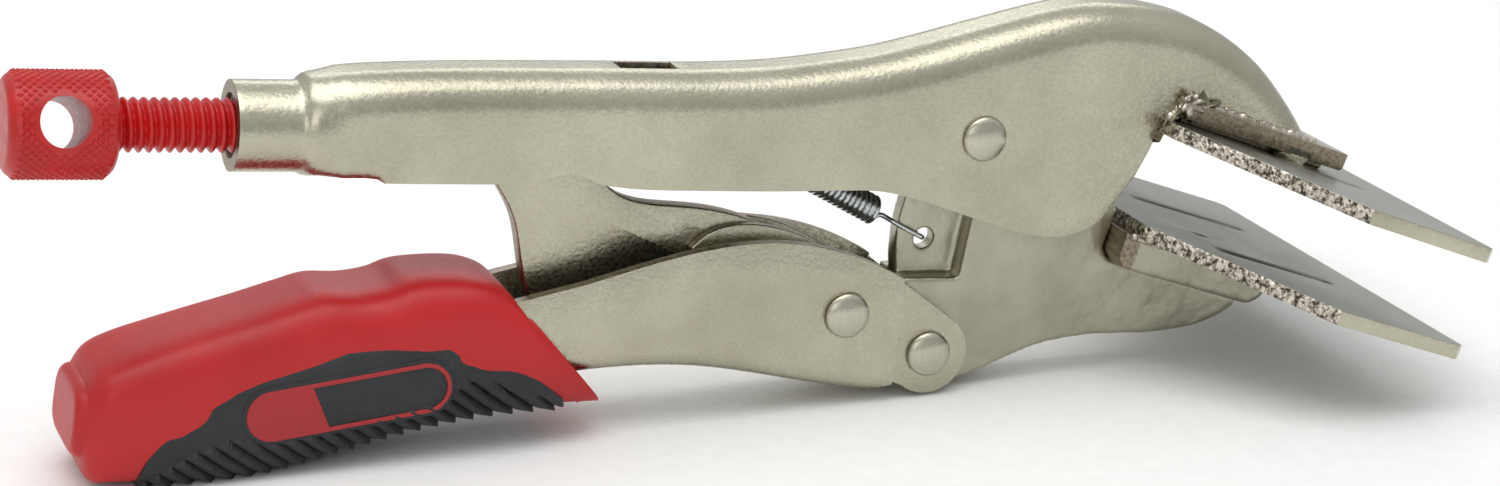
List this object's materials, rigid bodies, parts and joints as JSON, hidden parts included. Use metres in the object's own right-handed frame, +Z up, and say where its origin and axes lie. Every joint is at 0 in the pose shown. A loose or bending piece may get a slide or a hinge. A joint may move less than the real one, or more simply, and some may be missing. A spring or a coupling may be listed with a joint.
{
  "type": "sheet metal locking pliers",
  "caption": "Locking pliers with wide flat bending blades, a toggle link, a knurled adjusting screw, a return spring and a two-tone grip; closing the handle locks the jaw.",
  "frame": {"origin": "middle of the bottom of the closed tool as it stands on the heel of its grip and the lug of its lower handle", "axes": "+X from the adjusting knob towards the blades, +Z up, +Y across the blades"},
  "size_m": [0.2214, 0.08, 0.061],
  "materials": {
    "plate_nickel": "satin nickel plate over bead-blasted steel",
    "rivet_nickel": "bright nickel plate",
    "spring_steel": "bright drawn spring wire",
    "bush_steel": "plain turned steel",
    "red_coat": "glossy red powder coat",
    "red_plastic": "satin moulded red plastic",
    "black_rubber": "matte soft black rubber"
  },
  "bodies": {
    "frame": {"upper_handle": "plate_nickel", "threaded_bush": "bush_steel", "upper_blade": "plate_nickel", "upper_blade_strap": "plate_nickel", "upper_weld_beads": "plate_nickel", "jaw_rivet": "rivet_nickel", "return_spring": "spring_steel"},
    "screw_slider": {"screw_tip": "bush_steel"},
    "screw": {"adjusting_screw": "red_coat", "adjusting_knob": "red_coat"},
    "jaw": {"lower_jaw": "plate_nickel", "lower_blade": "plate_nickel", "lower_blade_support": "plate_nickel", "lower_weld_beads": "plate_nickel"},
    "handle": {"lower_handle": "plate_nickel", "handle_rivet": "rivet_nickel", "link_rivet": "rivet_nickel", "handle_grip": "red_plastic", "grip_insert": "black_rubber", "grip_plaques": "red_plastic"},
    "link": {"toggle_link": "plate_nickel", "link_cheeks": "plate_nickel", "link_spacers": "plate_nickel"}
  },
  "joints": [
    {"name": "screw_travel", "type": "slide", "parent": "frame", "child": "screw_slider", "axis": [0.9963, 0, -0.0856], "range_m": [-0.006, 0.00025]},
    {"name": "screw_turn", "type": "hinge", "parent": "screw_slider", "child": "screw", "pos_m": [-0.10237, 0, 0.05287], "axis": [0.9963, 0, -0.0856], "range_deg": [-1441, 61]},
    {"name": "jaw_pivot", "type": "hinge", "parent": "frame", "child": "jaw", "pos_m": [0.03806, 0, 0.0413], "axis": [0, 1, 0], "range_deg": [-0.54, 5.22], "deforming": ["return_spring"]},
    {"name": "handle_pivot", "type": "hinge", "parent": "jaw", "child": "handle", "pos_m": [0.03, 0, 0.00707], "axis": [0, 1, 0], "range_deg": [-40, 4]},
    {"name": "link_pivot", "type": "hinge", "parent": "handle", "child": "link", "pos_m": [0.01573, 0, 0.01512], "axis": [0, 1, 0], "range_deg": [-4.42, 44.02]}
  ],
  "couplings": [
    {"joint": "screw_turn", "follows": "screw_travel", "rad_per_m": 4188.8},
    {"joint": "jaw_pivot", "follows": "handle_pivot", "ratio": -0.13},
    {"joint": "link_pivot", "follows": "handle_pivot", "ratio": -1.1}
  ]
}
